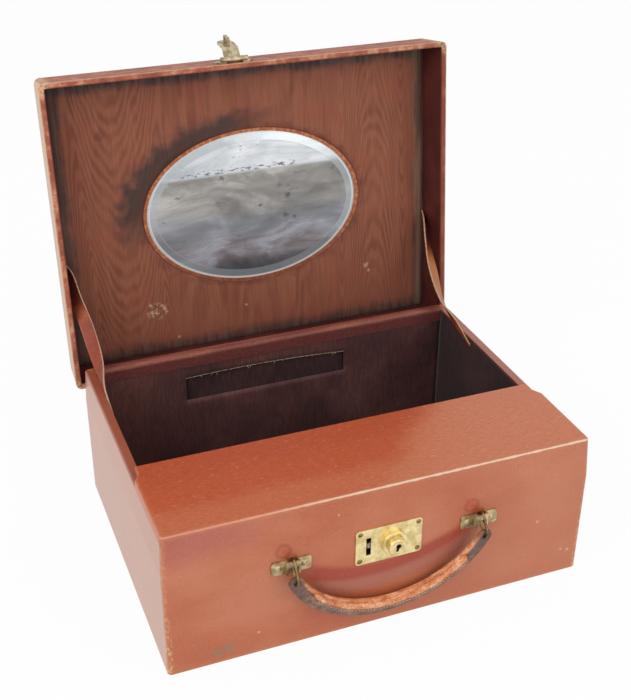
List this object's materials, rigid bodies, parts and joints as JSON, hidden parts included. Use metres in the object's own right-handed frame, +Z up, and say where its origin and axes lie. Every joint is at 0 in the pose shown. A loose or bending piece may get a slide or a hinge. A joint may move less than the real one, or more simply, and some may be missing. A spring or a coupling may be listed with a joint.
{
  "type": "dressing box",
  "caption": "Leather covered dressing box with a fold-back mirror lid on leather stays, a lined well, a push lock with a hasp, and a drop handle.",
  "frame": {"origin": "centre of the underside of the base cloth", "axes": "+X to the right seen from the front, +Y to the back, +Z up"},
  "size_m": [0.3092, 0.3023, 0.3264],
  "materials": {
    "base_cloth": "worn bookbinder's cloth",
    "board": "plain sawn softwood",
    "case_leather": "long-grained goatskin, rubbed and scuffed",
    "binding_leather": "smooth padded leather",
    "band_leather": "dark smooth leather",
    "moire_lining": "watered silk, faded",
    "lid_moire": "watered silk, faded at the edges",
    "pocket_card": "grey-brown card",
    "stay_leather": "thin strap leather with pale cut edges",
    "bead_leather": "narrow rolled leather",
    "handle_leather": "stitched strap leather, worn",
    "handle_core": "rolled core",
    "mirror_glass": "old silvering with dark smudges",
    "hinge_brass": "dull brass",
    "lock_brass": "worn brass",
    "bracket_brass": "tarnished brass",
    "lock_steel": "plain steel"
  },
  "bodies": {
    "case": {"base_cloth": "base_cloth", "floor_board": "board", "front_board": "board", "back_board": "board", "left_board": "board", "right_board": "board", "partition_board": "board", "deck_board": "board", "front_cover": "case_leather", "left_cover": "case_leather", "right_cover": "case_leather", "back_cover": "case_leather", "rear_binding": "binding_leather", "floor_lining": "moire_lining", "left_lining": "moire_lining", "right_lining": "moire_lining", "partition_lining": "moire_lining", "pocket_back": "pocket_card", "pocket_card": "pocket_card", "back_lining": "moire_lining", "left_stay": "stay_leather", "right_stay": "stay_leather", "hinge_case_leaf": "hinge_brass", "hinge_pin": "hinge_brass", "hinge_case_screws": "hinge_brass", "lock_plate": "lock_brass", "lock_plate_screws": "lock_brass", "lock_case": "lock_steel", "bolt_spring": "lock_steel", "left_bracket": "bracket_brass", "right_bracket": "bracket_brass", "bracket_rivets": "bracket_brass"},
    "lid": {"lid_board": "board", "lid_front_wall": "board", "lid_back_wall": "board", "lid_left_wall": "board", "lid_right_wall": "board", "lid_cover": "case_leather", "lid_wall_band": "band_leather", "lid_lining": "lid_moire", "mirror_glass": "mirror_glass", "mirror_card": "pocket_card", "mirror_bead": "bead_leather", "hinge_lid_leaf": "hinge_brass", "hinge_lid_screws": "hinge_brass", "hasp_base": "lock_brass", "hasp_screws": "lock_brass", "hasp_pin": "lock_steel"},
    "hasp": {"hasp_plate": "lock_brass", "hasp_staple": "lock_brass"},
    "left_link": {"left_link": "bracket_brass"},
    "right_link": {"right_link": "bracket_brass"},
    "handle": {"handle_leather": "handle_leather", "handle_core": "handle_core"},
    "lock_button": {"lock_button": "lock_brass"},
    "lock_bolt": {"lock_bolt": "lock_steel"},
    "key_plug": {"key_plug": "lock_brass"}
  },
  "joints": [
    {"name": "lid_hinge", "type": "hinge", "parent": "case", "child": "lid", "pos_m": [0, 0.1171, 0.0815], "axis": [1, 0, 0], "range_deg": [0, 96.5], "deforming": ["left_stay", "right_stay"]},
    {"name": "hasp_hinge", "type": "hinge", "parent": "lid", "child": "hasp", "pos_m": [-0.0135, 0.14666, 0.31445], "axis": [1, 0, 0], "range_deg": [0, 172]},
    {"name": "left_link_swing", "type": "hinge", "parent": "case", "child": "left_link", "pos_m": [-0.0665, -0.1153, 0.0708], "axis": [-1, 0, 0], "range_deg": [0, 100]},
    {"name": "right_link_swing", "type": "hinge", "parent": "case", "child": "right_link", "pos_m": [0.0665, -0.1153, 0.0708], "axis": [-1, 0, 0], "range_deg": [0, 100]},
    {"name": "handle_tilt", "type": "hinge", "parent": "left_link", "child": "handle", "pos_m": [-0.0665, -0.12075, 0.06302], "axis": [-1, 0, 0], "range_deg": [0, 60]},
    {"name": "button_push", "type": "slide", "parent": "case", "child": "lock_button", "axis": [0, 1, 0], "range_m": [0, 0.003], "stiffness_N_per_m": 400, "springref_m": -0.0015},
    {"name": "bolt_slide", "type": "slide", "parent": "case", "child": "lock_bolt", "axis": [1, 0, 0], "range_m": [0, 0.003], "deforming": ["bolt_spring"]},
    {"name": "key_turn", "type": "hinge", "parent": "lock_button", "child": "key_plug", "pos_m": [0.004, -0.1173, 0.0663], "axis": [0, 1, 0], "range_deg": [0, 90]}
  ],
  "couplings": [
    {"joint": "right_link_swing", "follows": "left_link_swing", "ratio": 1},
    {"joint": "bolt_slide", "follows": "button_push", "ratio": 1}
  ]
}
